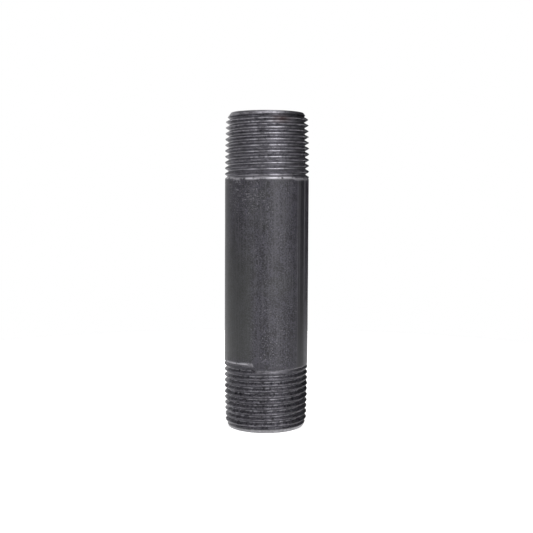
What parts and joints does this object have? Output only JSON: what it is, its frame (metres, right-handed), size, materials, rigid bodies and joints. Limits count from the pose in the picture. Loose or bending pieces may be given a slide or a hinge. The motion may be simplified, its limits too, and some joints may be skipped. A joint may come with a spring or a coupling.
{
  "type": "threaded pipe nipple",
  "caption": "Short straight length of black steel pipe with a tapered external pipe thread cut on each end, for joining two threaded fittings.",
  "frame": {"origin": "centre of the lower end face, on the pipe's axis", "axes": "+Z along the pipe's axis, from the lower end to the upper end; +X and +Y across it"},
  "size_m": [0.0266, 0.0266, 0.1],
  "materials": {
    "black_steel": "black lacquered mill scale, satin; bare cut steel on the threads and end bevels"
  },
  "bodies": {
    "root": {"pipe_nipple": "black_steel"}
  },
  "joints": []
}
